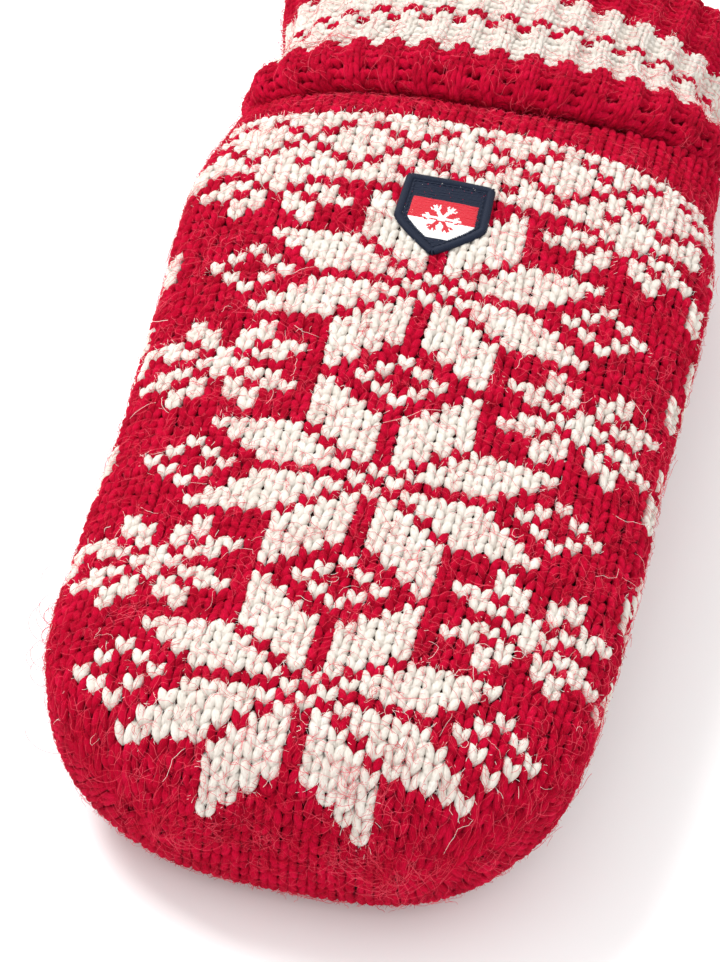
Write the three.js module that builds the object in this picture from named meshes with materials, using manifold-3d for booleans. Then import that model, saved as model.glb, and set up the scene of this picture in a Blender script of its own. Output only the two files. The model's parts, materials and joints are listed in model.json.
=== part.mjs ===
// A lined, knitted mitten for the right hand, lying palm down.
// Millimetres, +Z up. Fingertips point to -Y, the cuff to +Y, the thumb side is +X.
// The origin is on the surface it lies on, under the middle of its bounding box.
// The hand is a two-colour knitted shell with a fleece lining. The thumb is a
// separate knitted tube that lies tucked under the palm, and the cuff is ribbed.

import * as THREE from 'three';
import { mergeVertices } from 'three/addons/utils/BufferGeometryUtils.js';
import Module from 'manifold-3d';

const wasm = await Module();
wasm.setup();

// ---------------------------------------------------------------- dimensions
const SHELL = 3.0;             // knitted shell, wall thickness
const LINING = 2.0;            // fleece lining, wall thickness
const GAP = 0.35;              // clearance between neighbouring pieces
const LOOSE = 0.8;             // clearance between shell and lining

const PRESSED = 1.5;           // how far each underside is pressed flat

const TIP_Y = -124;            // fingertip end of the hand
const KNUCKLE_Y = -66;         // line where the finger part folds
const WRIST_Y = 59;            // crease between hand and cuff
const CUFF_END_Y = 124;        // open end of the cuff

const PALM_HALF_WIDTH = 52.9;
const FINGER_HALF_WIDTH = 51.3;
const WRIST_HALF_WIDTH = 50;   // at the crease
const HAND_TOP = 57;           // back of the hand, at the wrist
const DROOP_Y = 40;            // from here the back slopes down to the fingertips
const DROOP = 15;              // how much lower the back is at the fingertips
const DROOP_ANGLE = Math.atan(DROOP / (DROOP_Y - TIP_Y));
const CREASE_DIP = 2.5;        // the shell dips into the crease
const WIDEST_DROP = 13.5;      // from the back down to the widest line
const PALM_BOTTOM = 19.5;      // the palm lies on the thumb
const WRIST_BOTTOM = 6;        // the palm slopes down to the cuff
const TIP_ROUND_X = 42;        // length of the rounded end in plan
const TIP_ROUND_Z = 28;        // length of the rounded end seen from the side
const TIP_FLAT = 1.5;          // the middle of the fingertip end is straight
const TIP_SINK = 9;            // how far the widest line drops at the fingertips
const TIP_LEAN = -1.4;         // the fingertip end leans to one side
const TIP_REST_Y = -110;       // where the fingers touch down
const PALM_REST_Y = -68;       // where the palm meets the end of the thumb
const PALM_SLOPE_Y = 20;       // where the palm starts to slope to the cuff

const THUMB_X = 28;            // thumb base, centre of its opening
const THUMB_Y = -3;
const THUMB_REACH = 62;        // from the centre of the opening to the tip
const THUMB_HEEL = 17;         // from the centre of the opening backwards
const THUMB_HALF_WIDTH = 17;
const THUMB_TOP = PALM_BOTTOM - GAP;
const THUMB_TUCK = -20;        // degrees, turned in under the palm
const THUMB_HOLE_R = 13;       // opening between palm and thumb

const CUFF_BOTTOM = -PRESSED;
const CUFF_ROLL_MID = 40;      // height of the widest line at the crease
const CUFF_END_MID = 27;       // and at the open end
const CUFF_WALL = 4;
const CUFF_WAIST_Y = 80;       // narrowest place of the cuff
const CUFF_WAIST = 45;         // half width there
const CUFF_END = 52;           // half width at the open end
const CUFF_ROLL_Y = 64;        // the rib rolls over the crease here
const CUFF_ROLL = 50;          // half width of the roll
const CUFF_ROLL_TOP = 59;
const CUFF_WAIST_TOP = 56;
const CUFF_END_TOP = 50;

const LABEL_X = -1;            // middle of the woven shield
const LABEL_Y = 17.3;
const LABEL_WIDTH = 19;
const LABEL_HEIGHT = 21.5;
const LABEL_THICKNESS = 0.9;
const LABEL_THREAD = 0.6;

const ROUNDNESS = 2.5;         // superellipse exponent of a rounded end
const BELLY = 2.8;             // and of the underside of every section
const AROUND = 40;             // corners around a section

// ---------------------------------------------------------------- helpers
const clamp = (v, low, high) => Math.min(Math.max(v, low), high);
const ease = (t) => t * t * (3 - 2 * t);

function between(y, y0, y1, v0, v1) {
  return v0 + (v1 - v0) * ease(clamp((y - y0) / (y1 - y0), 0, 1));
}

// One corner of a closed section, an ellipse with a flatter underside. It is
// flattened at the height floor, where the piece lies on a surface.
function sectionCorner(s, angle) {
  const side = Math.sin(angle);
  const lift = Math.cos(angle);
  if (lift >= 0) {
    return [s.x + s.half * side, s.y, Math.max(s.mid + lift * (s.top - s.mid), s.floor)];
  }
  const e = 2 / BELLY;
  const x = s.x + s.half * Math.sign(side) * Math.abs(side) ** e;
  return [x, s.y, Math.max(s.mid - Math.abs(lift) ** e * (s.mid - s.bottom), s.floor)];
}

// A quarter-round fall from 1 to 0 over the last stretch before the tip.
function tipFall(distance, length) {
  const t = clamp(1 - distance / length, 0, 1);
  return (1 - t ** ROUNDNESS) ** (1 / ROUNDNESS);
}

// Height of the back of the hand at y.
function backOfHand(y) {
  const slope = clamp((DROOP_Y - y) / (DROOP_Y - TIP_Y), 0, 1);
  return HAND_TOP - DROOP * slope;
}

// Section of the hand at y, moved inwards by inset.
function handSection(y, inset) {
  const toTip = Math.max(y - TIP_Y - inset, 0);
  const half = between(y, -60, PALM_SLOPE_Y, FINGER_HALF_WIDTH, PALM_HALF_WIDTH)
    - between(y, 25, WRIST_Y, 0, PALM_HALF_WIDTH - WRIST_HALF_WIDTH) - inset;
  const mid = backOfHand(y) - WIDEST_DROP
    - between(y, TIP_Y, TIP_Y + 16, TIP_SINK, 0) - between(y, PALM_SLOPE_Y, WRIST_Y, 0, 5);
  const top = backOfHand(y) - between(y, 48, WRIST_Y, 0, CREASE_DIP) - inset;
  const bottom = between(y, TIP_REST_Y, PALM_REST_Y, -PRESSED, PALM_BOTTOM)
    - between(y, PALM_SLOPE_Y, WRIST_Y, 0, PALM_BOTTOM - WRIST_BOTTOM) + inset;
  const wide = tipFall(toTip + TIP_FLAT, TIP_ROUND_X - inset);
  const high = tipFall(toTip, TIP_ROUND_Z - inset);
  return {
    x: between(y, -110, -40, TIP_LEAN, 0),
    y,
    half: half * wide,
    mid,
    top: mid + (top - mid) * high,
    bottom: mid - (mid - bottom) * high,
    floor: inset,
  };
}

// Section of the cuff at y, moved inwards by inset.
function cuffSection(y, inset) {
  const half = y < CUFF_WAIST_Y
    ? between(y, CUFF_ROLL_Y, CUFF_WAIST_Y, CUFF_ROLL, CUFF_WAIST)
    : between(y, CUFF_WAIST_Y, CUFF_END_Y, CUFF_WAIST, CUFF_END);
  const top = y < CUFF_ROLL_Y
    ? between(y, WRIST_Y, CUFF_ROLL_Y, CUFF_ROLL_TOP - 3, CUFF_ROLL_TOP)
    : between(y, CUFF_ROLL_Y, CUFF_WAIST_Y, CUFF_ROLL_TOP, CUFF_WAIST_TOP)
      - between(y, CUFF_WAIST_Y, CUFF_END_Y, 0, CUFF_WAIST_TOP - CUFF_END_TOP);
  const bottom = between(y, WRIST_Y, CUFF_WAIST_Y - 7, WRIST_BOTTOM - 2, CUFF_BOTTOM);
  return {
    x: 0,
    y,
    half: half - inset,
    mid: between(y, WRIST_Y, CUFF_END_Y, CUFF_ROLL_MID, CUFF_END_MID),
    top: top - inset,
    bottom: bottom + inset,
    floor: inset,
  };
}

// Section of the thumb, laid along -Y from the centre of its opening.
function thumbSection(y, inset) {
  const toTip = Math.max(y + THUMB_REACH - inset, 0);
  const toHeel = Math.max(THUMB_HEEL - inset - y, 0);
  const round = Math.min(
    tipFall(toTip, THUMB_HALF_WIDTH + 4 - inset),
    tipFall(toHeel, THUMB_HALF_WIDTH - inset),
  );
  const mid = THUMB_TOP / 2;
  return {
    x: 0,
    y,
    half: (THUMB_HALF_WIDTH - inset) * round,
    mid,
    top: mid + (THUMB_TOP / 2 - inset) * round ** 0.6,
    bottom: mid - (THUMB_TOP / 2 + PRESSED - inset) * round ** 0.6,
    floor: inset,
  };
}

// Evenly spaced values, with both ends.
function spread(from, to, count) {
  return Array.from({ length: count + 1 }, (_, i) => from + ((to - from) * i) / count);
}

// Values from from to to that crowd together towards to, as a round end needs.
function crowd(from, to, count) {
  return spread(0, Math.PI / 2, count).map((a) => from + (to - from) * Math.sin(a));
}

// The triangles of a closed surface through a list of rings. A ring with a
// single point closes the surface there; otherwise its last ring joins its first.
function loft(rings) {
  const positions = rings.flat(2);
  const starts = [];
  let count = 0;
  for (const ring of rings) {
    starts.push(count);
    count += ring.length;
  }
  const index = [];
  const around = Math.max(...rings.map((ring) => ring.length));
  const closed = rings[0].length === 1;
  const steps = closed ? rings.length - 1 : rings.length;
  for (let r = 0; r < steps; r++) {
    const next = (r + 1) % rings.length;
    for (let k = 0; k < around; k++) {
      const a = starts[r] + (k % rings[r].length);
      const b = starts[r] + ((k + 1) % rings[r].length);
      const c = starts[next] + (k % rings[next].length);
      const d = starts[next] + ((k + 1) % rings[next].length);
      if (a !== b) index.push(a, b, d);
      if (c !== d) index.push(a, d, c);
    }
  }
  const geometry = new THREE.BufferGeometry();
  geometry.setAttribute('position', new THREE.Float32BufferAttribute(positions, 3));
  geometry.setIndex(index);
  return geometry;
}

function ringOf(section, around) {
  return spread(0, 2 * Math.PI, around).slice(0, -1).map((a) => sectionCorner(section, a));
}

// A tube that is open at both ends, between two insets of one section function.
function openTube(sectionAt, stations, inset, wall, around) {
  const outer = stations.map((y) => ringOf(sectionAt(y, inset), around));
  const inner = stations.map((y) => ringOf(sectionAt(y, inset + wall), around));
  return loft([...outer, ...inner.reverse()]);
}

// A tube that is closed and rounded at its far end and open at its first station.
function pocket(sectionAt, openY, tipY, inset, wall, around, count) {
  const skin = (depth) => {
    const end = tipY + depth;
    const rings = crowd(openY, end, count).slice(0, -1)
      .map((y) => ringOf(sectionAt(y, depth), around));
    const last = sectionAt(end, depth);
    return [...rings, [[last.x, end, last.mid]]];
  };
  return loft([...skin(inset).reverse(), ...skin(inset + wall)]);
}

function manifoldOf(geometry) {
  const bare = geometry.clone();
  bare.deleteAttribute('normal');
  bare.deleteAttribute('uv');
  const merged = mergeVertices(bare, 1e-4);
  return new wasm.Manifold(new wasm.Mesh({
    numProp: 3,
    vertProperties: new Float32Array(merged.attributes.position.array),
    triVerts: new Uint32Array(merged.index.array),
  }));
}

function geometryOf(solid) {
  const mesh = solid.getMesh();
  const geometry = new THREE.BufferGeometry();
  geometry.setAttribute('position', new THREE.BufferAttribute(mesh.vertProperties, 3));
  geometry.setIndex(new THREE.BufferAttribute(mesh.triVerts, 1));
  return geometry;
}

// An upright rod through the thumb opening, from one height to another.
function thumbRod(radius, low, high, x, y) {
  const rod = new THREE.CylinderGeometry(radius, radius, high - low, 32);
  rod.rotateX(Math.PI / 2);
  rod.translate(x, y, (low + high) / 2);
  return manifoldOf(rod);
}

function knit(color) {
  return new THREE.MeshStandardMaterial({ color, roughness: 0.95, metalness: 0 });
}

function piece(name, geometry, material) {
  geometry.computeVertexNormals();
  const mesh = new THREE.Mesh(geometry, material);
  mesh.name = name;
  return mesh;
}

// ---------------------------------------------------------------- hand
const PALM_STATIONS = [
  ...spread(KNUCKLE_Y + GAP, PALM_SLOPE_Y, 5),
  ...spread(PALM_SLOPE_Y, WRIST_Y - GAP, 5).slice(1),
];

function palmPiece(inset, wall, endY, holeRadius, around) {
  const stations = PALM_STATIONS.map((y) => Math.min(y, endY));
  const tube = manifoldOf(openTube(handSection, stations, inset, wall, around));
  const hole = thumbRod(holeRadius, PALM_BOTTOM - 2, PALM_BOTTOM + 14, THUMB_X, THUMB_Y);
  return geometryOf(tube.subtract(hole));
}

function fingerPiece(inset, wall, around) {
  return pocket(handSection, KNUCKLE_Y - GAP, TIP_Y, inset, wall, around, 11);
}

// ---------------------------------------------------------------- thumb
function thumbPiece(inset, wall, around) {
  const skin = (depth) => {
    const heel = THUMB_HEEL - depth;
    const tip = -THUMB_REACH + depth;
    const middle = -20;
    const stations = [
      ...crowd(middle, tip, 7).slice(0, -1).reverse(),
      ...crowd(middle, heel, 6).slice(1, -1),
    ];
    const rings = stations.map((y) => ringOf(thumbSection(y, depth), around));
    const mid = thumbSection(middle, depth).mid;
    return loft([[[0, tip, mid]], ...rings, [[0, heel, mid]]]);
  };
  const solid = manifoldOf(skin(inset)).subtract(manifoldOf(skin(inset + wall)));
  const hole = thumbRod(THUMB_HOLE_R - inset, THUMB_TOP / 2, THUMB_TOP + 2, 0, 0);
  return geometryOf(solid.subtract(hole));
}

// The round of stitches picked up around the thumb opening.
function joiningRound() {
  const outer = THUMB_HOLE_R - GAP;
  const profile = [
    [outer - 2.4, PALM_BOTTOM + 0.3],
    [outer, PALM_BOTTOM + 0.3],
    [outer, PALM_BOTTOM + SHELL],
    [outer - 2.4, PALM_BOTTOM + SHELL],
    [outer - 2.4, PALM_BOTTOM + 0.3],
  ].map(([r, z]) => new THREE.Vector2(r, z));
  const ring = new THREE.LatheGeometry(profile, 32);
  ring.rotateX(Math.PI / 2);
  ring.translate(THUMB_X, THUMB_Y, 0);
  return geometryOf(manifoldOf(ring));
}

// ---------------------------------------------------------------- cuff
function cuffRib() {
  const stations = [
    WRIST_Y + GAP,
    CUFF_ROLL_Y - 2,
    ...spread(CUFF_ROLL_Y, CUFF_WAIST_Y, 2),
    ...spread(CUFF_WAIST_Y, CUFF_END_Y, 4).slice(1),
  ];
  return openTube(cuffSection, stations, 0, CUFF_WALL, AROUND);
}

// ---------------------------------------------------------------- labels
function shieldOutline(inset) {
  const w = LABEL_WIDTH / 2 - inset;
  const top = LABEL_HEIGHT / 2 - inset;
  const shoulder = -LABEL_HEIGHT * 0.06;
  const outline = new THREE.Shape();
  outline.moveTo(-w, top);
  outline.lineTo(-w, shoulder);
  outline.quadraticCurveTo(-w * 0.62, shoulder - 5.2, 0, -top);
  outline.quadraticCurveTo(w * 0.62, shoulder - 5.2, w, shoulder);
  outline.lineTo(w, top);
  outline.closePath();
  return outline;
}

// Lays something drawn around the origin on the sloping back of the hand.
function onBack(geometry) {
  geometry.rotateX(DROOP_ANGLE);
  geometry.translate(LABEL_X, LABEL_Y, backOfHand(LABEL_Y) + 0.3);
  return geometry;
}

function labelPatch() {
  const settings = { depth: LABEL_THICKNESS, bevelEnabled: false, curveSegments: 8 };
  return onBack(new THREE.ExtrudeGeometry(shieldOutline(0), settings));
}

function labelStitching() {
  const outline = shieldOutline(0.9);
  outline.holes.push(new THREE.Path(shieldOutline(0.9 + LABEL_THREAD).getPoints(8)));
  const settings = { depth: LABEL_THREAD, bevelEnabled: false, curveSegments: 8 };
  const thread = new THREE.ExtrudeGeometry(outline, settings);
  thread.translate(0, 0, LABEL_THICKNESS + 0.3);
  return onBack(thread);
}

function careLabel() {
  const loop = new THREE.BoxGeometry(0.8, 24, 9);
  loop.translate(-40, 32, 39);
  return loop;
}

// The seam that holds the edge of the lining, just inside the wrist.
function liningSeam() {
  const stations = [WRIST_Y - 3.6, WRIST_Y - 2.2];
  return openTube(handSection, stations, SHELL + LOOSE, LINING, AROUND);
}

// ---------------------------------------------------------------- assembly
const RED_WOOL = knit(0xcd0c2d);
const WHITE_WOOL = knit(0xf5eee4);
const FLEECE = knit(0xb3122b);
const NAVY = knit(0x142341);
const SATIN = new THREE.MeshStandardMaterial({ color: 0xf2f0ec, roughness: 0.5, metalness: 0 });

const hand = new THREE.Group();
const liningInset = SHELL + LOOSE;

hand.add(piece('palm_shell',
  palmPiece(0, SHELL, WRIST_Y - GAP, THUMB_HOLE_R, AROUND), RED_WOOL));
hand.add(piece('palm_lining',
  palmPiece(liningInset, LINING, WRIST_Y - 4, THUMB_HOLE_R - 3, AROUND), FLEECE));
hand.add(piece('finger_shell', fingerPiece(0, SHELL, AROUND), RED_WOOL));
hand.add(piece('finger_lining', fingerPiece(liningInset, LINING, AROUND), FLEECE));
hand.add(piece('thumb_joining_round', joiningRound(), RED_WOOL));
hand.add(piece('lining_seam', liningSeam(), RED_WOOL));
hand.add(piece('cuff_rib', cuffRib(), RED_WOOL));
hand.add(piece('label_patch', labelPatch(), NAVY));
hand.add(piece('label_stitching', labelStitching(), NAVY));
hand.add(piece('care_label', careLabel(), SATIN));

const thumb = new THREE.Group();
thumb.position.set(THUMB_X, THUMB_Y, 0);
thumb.rotation.z = THREE.MathUtils.degToRad(THUMB_TUCK);
thumb.add(piece('thumb_shell', thumbPiece(0, SHELL, 28), WHITE_WOOL));
thumb.add(piece('thumb_lining', thumbPiece(liningInset, LINING, 28), FLEECE));
hand.add(thumb);

export default hand;
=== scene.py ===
"""A lined colourwork mitten, knitted stitch by stitch over its CAD frame.

Shapes are worked out in millimetres, and become metres when a mesh is made.
Every knitted surface is a Fabric: a chart of the surface in stitch columns and
rows. Each stitch is two legs of yarn laid on that chart, and loose fibres, the
backing (on the hand and thumb coloured near black as painted shade) and the
lining lie on it too.
"""

import json
import math

import bpy
import numpy as np
from mathutils import Matrix, Vector


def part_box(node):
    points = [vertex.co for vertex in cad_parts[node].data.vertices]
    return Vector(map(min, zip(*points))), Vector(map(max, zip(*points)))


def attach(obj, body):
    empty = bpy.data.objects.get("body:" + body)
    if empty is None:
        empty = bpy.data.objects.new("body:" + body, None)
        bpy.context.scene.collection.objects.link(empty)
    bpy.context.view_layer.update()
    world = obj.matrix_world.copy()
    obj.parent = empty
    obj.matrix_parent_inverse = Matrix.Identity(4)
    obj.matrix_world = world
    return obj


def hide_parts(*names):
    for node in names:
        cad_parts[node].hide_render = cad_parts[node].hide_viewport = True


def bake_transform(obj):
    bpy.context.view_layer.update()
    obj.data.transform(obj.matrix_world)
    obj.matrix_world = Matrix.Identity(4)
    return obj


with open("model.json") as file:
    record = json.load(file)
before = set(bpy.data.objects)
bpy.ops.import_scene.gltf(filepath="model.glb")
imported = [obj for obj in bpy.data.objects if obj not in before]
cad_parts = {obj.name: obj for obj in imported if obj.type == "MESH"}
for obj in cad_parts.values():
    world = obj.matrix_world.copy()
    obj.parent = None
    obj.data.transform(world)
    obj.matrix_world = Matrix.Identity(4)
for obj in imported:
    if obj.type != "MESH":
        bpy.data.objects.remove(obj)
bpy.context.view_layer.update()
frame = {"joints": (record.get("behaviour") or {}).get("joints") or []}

# ---- sizes, mm
MM = 0.001


def box_mm(node):
    low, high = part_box(node)
    return np.array(low) / MM, np.array(high) / MM


PALM_LOW, PALM_HIGH = box_mm("palm_shell")
FINGER_LOW, FINGER_HIGH = box_mm("finger_shell")
CUFF_LOW, CUFF_HIGH = box_mm("cuff_rib")
LABEL_LOW, LABEL_HIGH = box_mm("label_patch")
CARE_LOW, CARE_HIGH = box_mm("care_label")
ROUND_LOW, ROUND_HIGH = box_mm("thumb_joining_round")
JOINT_Y = {j["name"]: j["pos_m"][1] / MM for j in frame["joints"]}

TIP_Y = FINGER_LOW[1]
WRIST_Y = JOINT_Y["wrist_bend"]
CUFF_END_Y = CUFF_HIGH[1]
PALM_HALF = PALM_HIGH[0]
FINGER_HALF, WRIST_HALF = 51.3, 50.0
HAND_TOP = 57.0  # back of the hand at the wrist
DROOP_Y, DROOP = 40.0, 15.0  # from there it slopes down to the fingertips
CREASE_DIP = 2.5
WIDEST_DROP = 13.5  # from the back down to the widest line
PALM_BOTTOM = 19.5
WRIST_BOTTOM = 6.0
PRESSED = 1.5  # what rests on the surface is flattened by this much
TIP_ROUND_X, TIP_ROUND_Z = 42.0, 28.0  # lengths over which the tip rounds off
TIP_FLAT = 1.5
TIP_SINK = 9.0  # how far the widest line drops at the tip
TIP_LEAN = -1.4
TIP_REST_Y, PALM_REST_Y = -110.0, -68.0  # the fingertips rest, the palm doesn't
PALM_SLOPE_Y = 20.0
CUFF_ROLL_MID, CUFF_END_MID = 40.0, 27.0
CUFF_WAIST_Y, CUFF_ROLL_Y = 80.0, 64.0
CUFF_ROLL, CUFF_WAIST, CUFF_END = 50.0, 45.0, 52.0
CUFF_ROLL_TOP, CUFF_WAIST_TOP, CUFF_END_TOP = CUFF_HIGH[2], 56.0, 50.0
CUFF_WALL = 4.0
ROLL_DEPTH = 5.5  # how deep the lower edge of the cuff curls into the crease
THUMB_CENTRE = (ROUND_LOW + ROUND_HIGH) / 2
THUMB_REACH = 62.0
THUMB_HEEL = 17.0
THUMB_HALF = 17.0
THUMB_TOP = PALM_BOTTOM - 0.35
THUMB_TUCK = math.radians(-20)
THUMB_HOLE = 13.0
LINING = 3.8  # depth of the lining below the face of the shell
LINING_INSET = LINING + 1.6  # depth of the face of the lining's pile
LINING_EDGE_Y = WRIST_Y - 4
BACKING_INSET = 0.7
ROUNDNESS = 2.5  # exponent of the round ends
BELLY = 2.8  # exponent of the lower half of a section

COLUMN = 3.6  # width of a stitch
ROW = 2.62  # height of a stitch
STAR_Y = -106.0  # centre of the first star, on the back of the hand
SPLIT_Y = -5.0  # yarn pieces are cut here, between the two bends of the hand

rng = np.random.default_rng(7)


# ---- sections
def ease(t):
    t = np.clip(t, 0, 1)
    return t * t * (3 - 2 * t)


def between(y, y0, y1, v0, v1):
    return v0 + (v1 - v0) * ease((y - y0) / (y1 - y0))


def tip_fall(distance, length):
    t = np.clip(1 - distance / length, 0, 1)
    return (1 - t**ROUNDNESS) ** (1 / ROUNDNESS)


def back_of_hand(y):
    return HAND_TOP - DROOP * np.clip((DROOP_Y - y) / (DROOP_Y - TIP_Y), 0, 1)


def hand_section(y, inset=0.0):
    """Half width, widest height, top, bottom and sideways shift at y."""
    to_tip = np.maximum(y - TIP_Y - inset, 0)
    half = between(y, -60, PALM_SLOPE_Y, FINGER_HALF, PALM_HALF) - inset
    half = half - between(y, 25, WRIST_Y, 0, PALM_HALF - WRIST_HALF)
    mid = back_of_hand(y) - WIDEST_DROP - between(y, TIP_Y, TIP_Y + 16, TIP_SINK, 0)
    mid = mid - between(y, PALM_SLOPE_Y, WRIST_Y, 0, 5)
    top = back_of_hand(y) - between(y, 48, WRIST_Y, 0, CREASE_DIP) - inset
    bottom = between(y, TIP_REST_Y, PALM_REST_Y, -PRESSED, PALM_BOTTOM) + inset
    bottom = bottom - between(y, PALM_SLOPE_Y, WRIST_Y, 0, PALM_BOTTOM - WRIST_BOTTOM)
    wide = tip_fall(to_tip + TIP_FLAT, TIP_ROUND_X - inset)
    high = tip_fall(to_tip, TIP_ROUND_Z - inset)
    shift = between(y, -110, -40, TIP_LEAN, 0)
    return half * wide, mid, mid + (top - mid) * high, mid - (mid - bottom) * high, shift


def quarter_round(y, y_round, y_edge):
    """0 to 1 along a quarter circle that starts at y_edge and ends at y_round."""
    t = np.clip((y - y_edge) / (y_round - y_edge), 0, 1)
    return np.sqrt(1 - (1 - t) ** 2)


def cuff_section(y, inset=0.0):
    half = between(y, CUFF_ROLL_Y, CUFF_WAIST_Y, CUFF_ROLL, CUFF_WAIST)
    half = half + between(y, CUFF_WAIST_Y, CUFF_END_Y, 0, CUFF_END - CUFF_WAIST)
    top = CUFF_ROLL_TOP - between(y, CUFF_ROLL_Y, CUFF_WAIST_Y, 0, CUFF_ROLL_TOP - CUFF_WAIST_TOP)
    top = top - between(y, CUFF_WAIST_Y, CUFF_END_Y, 0, CUFF_WAIST_TOP - CUFF_END_TOP)
    bottom = between(y, WRIST_Y, CUFF_WAIST_Y - 7, WRIST_BOTTOM - 2, -PRESSED)
    mid = between(y, WRIST_Y, CUFF_END_Y, CUFF_ROLL_MID, CUFF_END_MID)
    tucked = ROLL_DEPTH * (1 - quarter_round(y, WRIST_Y + 4.5, WRIST_Y - 1)) + inset
    return half - tucked, mid, top - tucked, bottom + tucked, 0 * y


def thumb_section(y, inset=0.0):
    """Section of the thumb, laid along -Y from the centre of its opening."""
    to_tip = np.maximum(y + THUMB_REACH - inset, 0)
    to_heel = np.maximum(THUMB_HEEL - inset - y, 0)
    round_ = np.minimum(
        tip_fall(to_tip, THUMB_HALF + 4 - inset), tip_fall(to_heel, THUMB_HALF - inset)
    )
    mid = np.full_like(y, THUMB_TOP / 2)
    high = round_**0.6
    top = mid + (THUMB_TOP / 2 - inset) * high
    bottom = mid - (THUMB_TOP / 2 + PRESSED - inset) * high
    return (THUMB_HALF - inset) * round_, mid, top, bottom, 0 * y


def section_point(section, y, angle, inset=0.0):
    """Points on a section; angle 0 is the top and grows towards +X."""
    half, mid, top, bottom, shift = section(y, inset)
    c, s = np.cos(angle), np.sin(angle)
    e = np.where(c >= 0, 1.0, 2 / BELLY)
    x = shift + half * np.sign(s) * np.abs(s) ** e
    z = mid + np.sign(c) * np.abs(c) ** e * np.where(c >= 0, top - mid, mid - bottom)
    x, y, z = np.broadcast_arrays(x, y, np.maximum(z, inset))
    return np.stack([x, y, z], -1)


# ---- fabric
def smooth_noise(a, b, seed, scale):
    """A smooth field of about -1 to 1 over two coordinates."""
    waves = np.random.default_rng(seed)
    total = np.zeros(np.broadcast(a, b).shape)
    for _ in range(6):
        ka, kb = waves.normal(0, 1.6 / scale, 2)
        total = total + np.sin(ka * a + kb * b + waves.uniform(0, 2 * math.pi))
    return total / 3


class Fabric:
    """A surface charted by s, mm round the section, and v, rows along it.

    side is "back" (s measured from the top) or "palm" (from the bottom).
    """

    S_STEP = 0.9
    V_STEP = 0.5

    def __init__(
        self, section, y_from, y_to, zero_y, side, place=None, relief=None, inset=None, inner=False
    ):
        """inset is a function of y, and inner turns the normals inwards."""
        self.top = 0.0 if side == "back" else math.pi
        self.turn = 1.0 if side == "back" else -1.0
        inset = inset or (lambda y: 0.0)
        # stations crowd at both ends, where a rounded tip turns fast
        t = np.linspace(0, 1, 2001)
        ys = y_from + (y_to - y_from) * t**3 / (t**3 + (1 - t) ** 3)
        line = section_point(section, ys, np.full_like(ys, self.top), inset(ys))
        run = np.concatenate([[0], np.cumsum(np.linalg.norm(np.diff(line, axis=0), axis=1))])
        rows = (run - np.interp(zero_y, ys, run)) / ROW
        self.v0 = rows[0]
        self.v1 = rows[-1]
        self.vs = np.arange(rows[0], rows[-1] + self.V_STEP, self.V_STEP)
        y = np.interp(self.vs, rows, ys)
        # crowd the angles where a superellipse turns fast
        angle = np.linspace(0, 1, 240)
        angle = math.pi * (angle - 0.12 * np.sin(4 * math.pi * angle) / (2 * math.pi))
        column_y = y[:, None]
        turned = self.top + self.turn * angle[None, :]
        grid = section_point(section, column_y, turned, inset(column_y))
        centre = grid[:, :1, 0]
        step = np.linalg.norm(np.diff(grid, axis=1), axis=2)
        length = np.pad(np.cumsum(step, axis=1), ((0, 0), (1, 0)))
        side_line = np.abs(angle - math.pi / 2).argmin()
        self.reach = length[:, side_line]  # mm to the side line, for each row
        self.full = length[:, -1]
        self.s_max = self.full.max()
        s = np.arange(-self.s_max, self.s_max + self.S_STEP, self.S_STEP)
        self.s0 = s[0]
        points = np.empty((len(y), len(s), 3))
        for i in range(len(y)):
            for axis in range(3):
                points[i, :, axis] = np.interp(np.abs(s), length[i], grid[i, :, axis])
        mirror = np.where(s < 0, -1, 1)[None, :]
        points[..., 0] = centre + (points[..., 0] - centre) * mirror
        if place is not None:
            points = place(points)
        along = np.gradient(points, axis=0)
        across = np.gradient(points, axis=1)
        normal = np.cross(across, along) * self.turn * (-1 if inner else 1)
        size = np.linalg.norm(normal, axis=2, keepdims=True)
        self.normals = normal / np.maximum(size, 1e-9)
        self.points = points
        if relief is not None:
            ss, vv = np.meshgrid(s, self.vs)
            self.points = points + self.normals * relief(ss, vv)[..., None]

    def at(self, s, v, height=0.0):
        """Points height mm off the fabric at s and v."""
        i = np.clip((np.asarray(v) - self.vs[0]) / self.V_STEP, 0, len(self.vs) - 1.001)
        j = np.clip((np.asarray(s) - self.s0) / self.S_STEP, 0, self.points.shape[1] - 1.001)
        i0, j0 = i.astype(int), j.astype(int)
        fi, fj = (i - i0)[..., None], (j - j0)[..., None]

        def mix(grid):
            low = grid[i0, j0] * (1 - fj) + grid[i0, j0 + 1] * fj
            high = grid[i0 + 1, j0] * (1 - fj) + grid[i0 + 1, j0 + 1] * fj
            return low * (1 - fi) + high * fi

        out = mix(self.normals)
        return mix(self.points) + out * np.asarray(height)[..., None], out


# ---- meshes
LOWEST = 0.1


def new_object(name, vertices, faces, mat, rider, uv=None, smooth=True):
    mesh = bpy.data.meshes.new(name)
    faces = np.asarray(faces, np.int32)
    sides = faces.shape[1]
    # the weight of the mitten presses every yarn flat on the surface it lies on
    vertices = np.maximum(vertices, [-np.inf, -np.inf, LOWEST])
    mesh.vertices.add(len(vertices))
    mesh.vertices.foreach_set("co", (vertices * MM).astype(np.float32).ravel())
    mesh.loops.add(faces.size)
    mesh.loops.foreach_set("vertex_index", faces.ravel())
    mesh.polygons.add(len(faces))
    mesh.polygons.foreach_set("loop_start", np.arange(0, faces.size, sides, dtype=np.int32))
    if uv is not None:
        layer = mesh.uv_layers.new(name="yarn")
        layer.data.foreach_set("uv", np.asarray(uv, np.float32)[faces.ravel()].ravel())
    mesh.update(calc_edges=True)
    mesh.validate()
    if smooth:
        mesh.shade_smooth()
    mesh.materials.append(mat)
    piece = bpy.data.objects.new(name, mesh)
    bpy.context.scene.collection.objects.link(piece)
    rider(piece)
    return piece


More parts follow.
